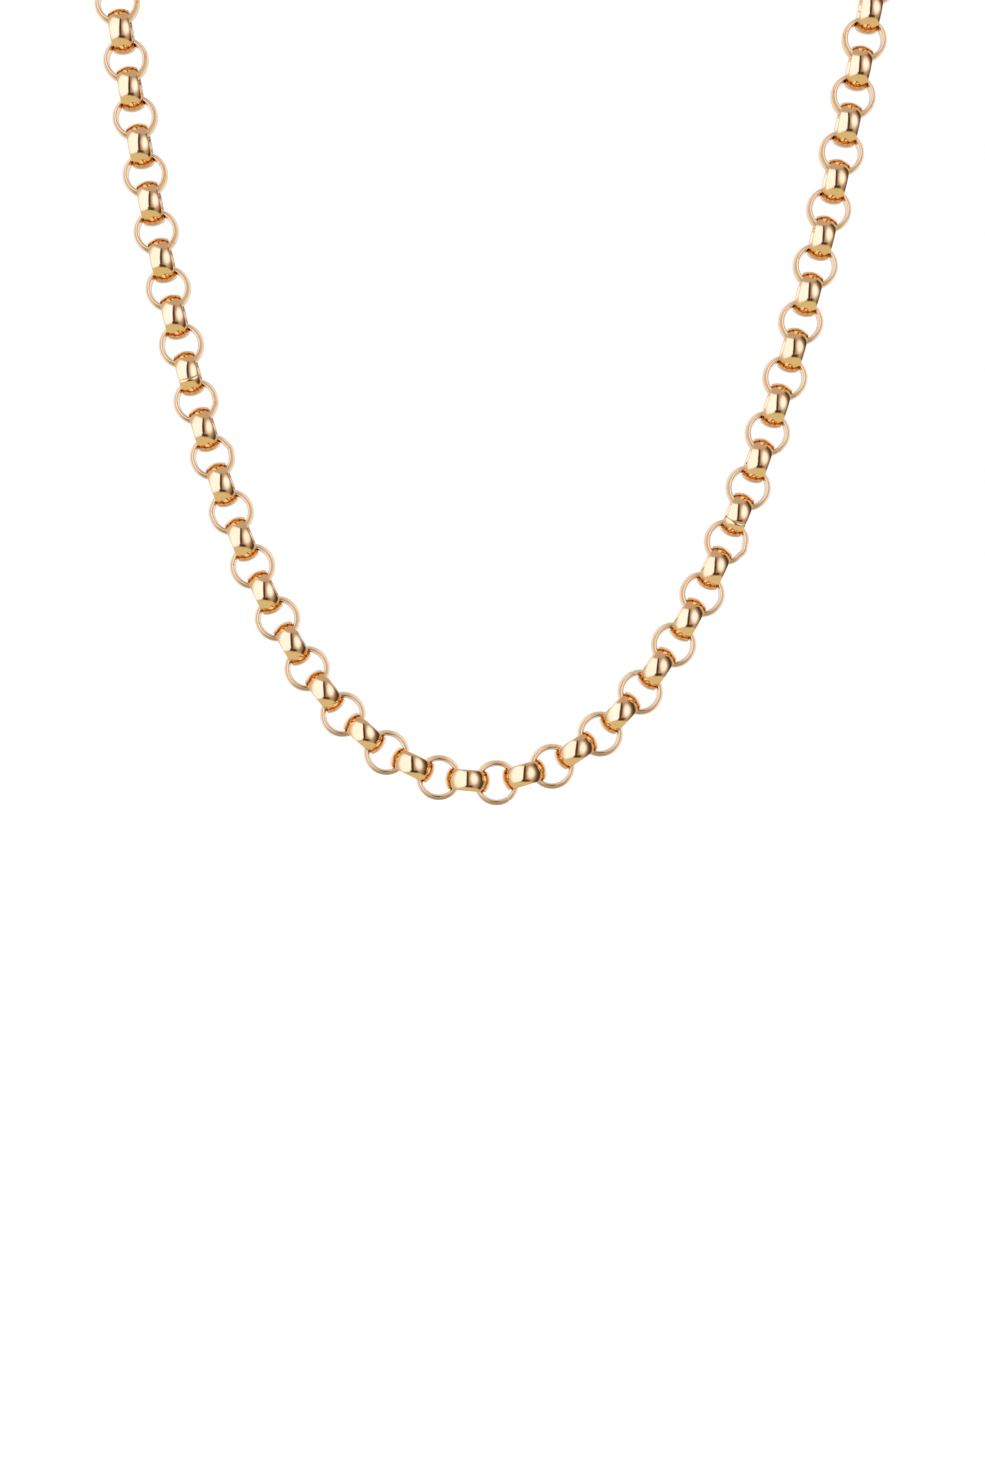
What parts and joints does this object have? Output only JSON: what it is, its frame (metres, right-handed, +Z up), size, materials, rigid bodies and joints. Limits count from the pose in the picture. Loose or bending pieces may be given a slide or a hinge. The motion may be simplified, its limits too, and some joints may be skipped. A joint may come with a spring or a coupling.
{
  "type": "chain necklace",
  "caption": "Polished gold belcher chain of round domed links, hanging in a deep curve from the neck, with a lobster clasp at the nape.",
  "frame": {"origin": "middle of the clasp, where the chain rests against the nape of the neck", "axes": "+Z up, +X to the viewer's right seen from the front, -Y towards the viewer"},
  "size_m": [0.1302, 0.0663, 0.1509],
  "materials": {
    "link_gold": "polished warm yellow gold",
    "wire_gold": "polished warm yellow gold wire",
    "clasp_gold": "polished warm yellow gold, cast and tumbled",
    "spring_steel": "bright spring steel"
  },
  "bodies": {
    "root": {"back_rings_left": "link_gold", "back_rings_right": "link_gold", "back_barrels_left": "link_gold", "back_barrels_right": "link_gold", "jump_ring": "wire_gold", "end_ring": "wire_gold", "clasp_body": "clasp_gold", "clasp_pin": "clasp_gold", "clasp_spring": "spring_steel"},
    "left_pair_16": {"left_pair_16": "link_gold"},
    "right_pair_16": {"right_pair_16": "link_gold"},
    "left_pair_15": {"left_pair_15": "link_gold"},
    "left_pair_14": {"left_pair_14": "link_gold"},
    "left_pair_13": {"left_pair_13": "link_gold"},
    "left_pair_12": {"left_pair_12": "link_gold"},
    "left_pair_11": {"left_pair_11": "link_gold"},
    "left_pair_10": {"left_pair_10": "link_gold"},
    "left_pair_09": {"left_pair_09": "link_gold"},
    "left_pair_08": {"left_pair_08": "link_gold"},
    "left_pair_07": {"left_pair_07": "link_gold"},
    "left_pair_06": {"left_pair_06": "link_gold"},
    "left_pair_05": {"left_pair_05": "link_gold"},
    "left_pair_04": {"left_pair_04": "link_gold"},
    "left_pair_03": {"left_pair_03": "link_gold"},
    "left_pair_02": {"left_pair_02": "link_gold"},
    "left_pair_01": {"left_pair_01": "link_gold"},
    "right_pair_15": {"right_pair_15": "link_gold"},
    "right_pair_14": {"right_pair_14": "link_gold"},
    "right_pair_13": {"right_pair_13": "link_gold"},
    "right_pair_12": {"right_pair_12": "link_gold"},
    "right_pair_11": {"right_pair_11": "link_gold"},
    "right_pair_10": {"right_pair_10": "link_gold"},
    "right_pair_09": {"right_pair_09": "link_gold"},
    "right_pair_08": {"right_pair_08": "link_gold"},
    "right_pair_07": {"right_pair_07": "link_gold"},
    "right_pair_06": {"right_pair_06": "link_gold"},
    "right_pair_05": {"right_pair_05": "link_gold"},
    "right_pair_04": {"right_pair_04": "link_gold"},
    "right_pair_03": {"right_pair_03": "link_gold"},
    "right_pair_02": {"right_pair_02": "link_gold"},
    "right_pair_01": {"right_pair_01": "link_gold"},
    "bottom_ring": {"bottom_ring": "link_gold"},
    "clasp_lever": {"clasp_lever": "clasp_gold"}
  },
  "joints": [
    {"name": "left_swing", "type": "hinge", "parent": "root", "child": "left_pair_16", "pos_m": [-0.05956, -0.05864, -0.01738], "axis": [0.9989, 0, 0.0477], "range_deg": [-20, 20]},
    {"name": "right_swing", "type": "hinge", "parent": "root", "child": "right_pair_16", "pos_m": [0.06034, -0.05864, -0.01165], "axis": [0.9989, 0, 0.0477], "range_deg": [-20, 20]},
    {"name": "left_bend_15", "type": "hinge", "parent": "left_pair_16", "child": "left_pair_15", "pos_m": [-0.05732, -0.05864, -0.03082], "axis": [0, -1, 0], "range_deg": [-0.02, 0.3984]},
    {"name": "left_bend_14", "type": "hinge", "parent": "left_pair_15", "child": "left_pair_14", "pos_m": [-0.05569, -0.05864, -0.03975], "axis": [0, -1, 0], "range_deg": [-0.02, 0.4257]},
    {"name": "left_bend_13", "type": "hinge", "parent": "left_pair_14", "child": "left_pair_13", "pos_m": [-0.05394, -0.05864, -0.04866], "axis": [0, -1, 0], "range_deg": [-0.02, 0.4527]},
    {"name": "left_bend_12", "type": "hinge", "parent": "left_pair_13", "child": "left_pair_12", "pos_m": [-0.05205, -0.05864, -0.05754], "axis": [0, -1, 0], "range_deg": [-0.02, 0.4766]},
    {"name": "left_bend_11", "type": "hinge", "parent": "left_pair_12", "child": "left_pair_11", "pos_m": [-0.05001, -0.05864, -0.06639], "axis": [0, -1, 0], "range_deg": [-0.02, 0.4929]},
    {"name": "left_bend_10", "type": "hinge", "parent": "left_pair_11", "child": "left_pair_10", "pos_m": [-0.04777, -0.05864, -0.07519], "axis": [0, -1, 0], "range_deg": [-0.02, 0.4929]},
    {"name": "left_bend_09", "type": "hinge", "parent": "left_pair_10", "child": "left_pair_09", "pos_m": [-0.04531, -0.05864, -0.08393], "axis": [0, -1, 0], "range_deg": [-0.02, 0.4603]},
    {"name": "left_bend_08", "type": "hinge", "parent": "left_pair_09", "child": "left_pair_08", "pos_m": [-0.04257, -0.05864, -0.09258], "axis": [0, 1, 0], "range_deg": [-0.02, 0.1013]},
    {"name": "left_bend_07", "type": "hinge", "parent": "left_pair_08", "child": "left_pair_07", "pos_m": [-0.03949, -0.05864, -0.10113], "axis": [0, 1, 0], "range_deg": [-0.02, 0.2544]},
    {"name": "left_bend_06", "type": "hinge", "parent": "left_pair_07", "child": "left_pair_06", "pos_m": [-0.03598, -0.05864, -0.1095], "axis": [0, 1, 0], "range_deg": [-0.02, 0.5322]},
    {"name": "left_bend_05", "type": "hinge", "parent": "left_pair_06", "child": "left_pair_05", "pos_m": [-0.03192, -0.05864, -0.11762], "axis": [0, 1, 0], "range_deg": [-0.02, 1.04]},
    {"name": "left_bend_04", "type": "hinge", "parent": "left_pair_05", "child": "left_pair_04", "pos_m": [-0.02714, -0.05864, -0.12534], "axis": [0, 1, 0], "range_deg": [-0.02, 1.99]},
    {"name": "left_bend_03", "type": "hinge", "parent": "left_pair_04", "child": "left_pair_03", "pos_m": [-0.02141, -0.05864, -0.13239], "axis": [0, 1, 0], "range_deg": [-0.02, 3.69]},
    {"name": "left_bend_02", "type": "hinge", "parent": "left_pair_03", "child": "left_pair_02", "pos_m": [-0.01447, -0.05864, -0.13824], "axis": [0, 1, 0], "range_deg": [-0.02, 6.28]},
    {"name": "front_pull", "type": "hinge", "parent": "left_pair_02", "child": "left_pair_01", "pos_m": [-0.00621, -0.05864, -0.142], "axis": [0, 1, 0], "range_deg": [0, 8.28]},
    {"name": "right_bend_15", "type": "hinge", "parent": "right_pair_16", "child": "right_pair_15", "pos_m": [0.05819, -0.05864, -0.0251], "axis": [0, 1, 0], "range_deg": [-0.02, 0.3411]},
    {"name": "right_bend_14", "type": "hinge", "parent": "right_pair_15", "child": "right_pair_14", "pos_m": [0.05662, -0.05864, -0.03405], "axis": [0, 1, 0], "range_deg": [-0.02, 0.3558]},
    {"name": "right_bend_13", "type": "hinge", "parent": "right_pair_14", "child": "right_pair_13", "pos_m": [0.05495, -0.05864, -0.04297], "axis": [0, 1, 0], "range_deg": [-0.02, 0.3672]},
    {"name": "right_bend_12", "type": "hinge", "parent": "right_pair_13", "child": "right_pair_12", "pos_m": [0.05316, -0.05864, -0.05187], "axis": [0, 1, 0], "range_deg": [-0.02, 0.3719]},
    {"name": "right_bend_11", "type": "hinge", "parent": "right_pair_12", "child": "right_pair_11", "pos_m": [0.05121, -0.05864, -0.06074], "axis": [0, 1, 0], "range_deg": [-0.02, 0.3647]},
    {"name": "right_bend_10", "type": "hinge", "parent": "right_pair_11", "child": "right_pair_10", "pos_m": [0.0491, -0.05864, -0.06957], "axis": [0, 1, 0], "range_deg": [-0.02, 0.3365]},
    {"name": "right_bend_09", "type": "hinge", "parent": "right_pair_10", "child": "right_pair_09", "pos_m": [0.04679, -0.05864, -0.07835], "axis": [0, 1, 0], "range_deg": [-0.02, 0.2713]},
    {"name": "right_bend_08", "type": "hinge", "parent": "right_pair_09", "child": "right_pair_08", "pos_m": [0.04423, -0.05864, -0.08706], "axis": [0, -1, 0], "range_deg": [-0.02, 0.1979]},
    {"name": "right_bend_07", "type": "hinge", "parent": "right_pair_08", "child": "right_pair_07", "pos_m": [0.04138, -0.05864, -0.09568], "axis": [0, -1, 0], "range_deg": [-0.02, 0.351]},
    {"name": "right_bend_06", "type": "hinge", "parent": "right_pair_07", "child": "right_pair_06", "pos_m": [0.03815, -0.05864, -0.10417], "axis": [0, -1, 0], "range_deg": [-0.02, 0.6082]},
    {"name": "right_bend_05", "type": "hinge", "parent": "right_pair_06", "child": "right_pair_05", "pos_m": [0.03446, -0.05864, -0.11247], "axis": [0, -1, 0], "range_deg": [-0.02, 1.05]},
    {"name": "right_bend_04", "type": "hinge", "parent": "right_pair_05", "child": "right_pair_04", "pos_m": [0.03017, -0.05864, -0.12047], "axis": [0, -1, 0], "range_deg": [-0.02, 1.83]},
    {"name": "right_bend_03", "type": "hinge", "parent": "right_pair_04", "child": "right_pair_03", "pos_m": [0.02508, -0.05864, -0.12799], "axis": [0, -1, 0], "range_deg": [-0.02, 3.21]},
    {"name": "right_bend_02", "type": "hinge", "parent": "right_pair_03", "child": "right_pair_02", "pos_m": [0.01893, -0.05864, -0.13467], "axis": [0, -1, 0], "range_deg": [-0.02, 5.51]},
    {"name": "right_bend_01", "type": "hinge", "parent": "right_pair_02", "child": "right_pair_01", "pos_m": [0.01151, -0.05864, -0.1399], "axis": [0, -1, 0], "range_deg": [-0.02, 8.52]},
    {"name": "bottom_bend", "type": "hinge", "parent": "right_pair_01", "child": "bottom_ring", "pos_m": [0.00285, -0.05864, -0.14264], "axis": [0, 1, 0], "range_deg": [-0.02, 19.01]},
    {"name": "clasp_lever_press", "type": "hinge", "parent": "root", "child": "clasp_lever", "pos_m": [-0.00057, 0.00045, 0.00078], "axis": [-0.0053, 1, 0], "range_deg": [0, 14], "stiffness_Nm_per_rad": 0.002, "springref_deg": -11.46}
  ],
  "couplings": [
    {"joint": "right_swing", "follows": "left_swing", "ratio": 1},
    {"joint": "left_bend_15", "follows": "front_pull", "ratio": 0.044813},
    {"joint": "left_bend_14", "follows": "front_pull", "ratio": 0.048053},
    {"joint": "left_bend_13", "follows": "front_pull", "ratio": 0.051239},
    {"joint": "left_bend_12", "follows": "front_pull", "ratio": 0.054075},
    {"joint": "left_bend_11", "follows": "front_pull", "ratio": 0.056008},
    {"joint": "left_bend_10", "follows": "front_pull", "ratio": 0.056008},
    {"joint": "left_bend_09", "follows": "front_pull", "ratio": 0.052146},
    {"joint": "left_bend_08", "follows": "front_pull", "ratio": 0.0096333},
    {"joint": "left_bend_07", "follows": "front_pull", "ratio": 0.027761},
    {"joint": "left_bend_06", "follows": "front_pull", "ratio": 0.060654},
    {"joint": "left_bend_05", "follows": "front_pull", "ratio": 0.12118},
    {"joint": "left_bend_04", "follows": "front_pull", "ratio": 0.23328},
    {"joint": "left_bend_03", "follows": "front_pull", "ratio": 0.43435},
    {"joint": "left_bend_02", "follows": "front_pull", "ratio": 0.74194},
    {"joint": "right_bend_15", "follows": "front_pull", "ratio": 0.038028},
    {"joint": "right_bend_14", "follows": "front_pull", "ratio": 0.039773},
    {"joint": "right_bend_13", "follows": "front_pull", "ratio": 0.041113},
    {"joint": "right_bend_12", "follows": "front_pull", "ratio": 0.041676},
    {"joint": "right_bend_11", "follows": "front_pull", "ratio": 0.040828},
    {"joint": "right_bend_10", "follows": "front_pull", "ratio": 0.037485},
    {"joint": "right_bend_09", "follows": "front_pull", "ratio": 0.029763},
    {"joint": "right_bend_08", "follows": "front_pull", "ratio": 0.021068},
    {"joint": "right_bend_07", "follows": "front_pull", "ratio": 0.039198},
    {"joint": "right_bend_06", "follows": "front_pull", "ratio": 0.069659},
    {"joint": "right_bend_05", "follows": "front_pull", "ratio": 0.12208},
    {"joint": "right_bend_04", "follows": "front_pull", "ratio": 0.21429},
    {"joint": "right_bend_03", "follows": "front_pull", "ratio": 0.3773},
    {"joint": "right_bend_02", "follows": "front_pull", "ratio": 0.65007},
    {"joint": "right_bend_01", "follows": "front_pull", "ratio": 1.0071},
    {"joint": "bottom_bend", "follows": "front_pull", "ratio": 2.2493}
  ]
}
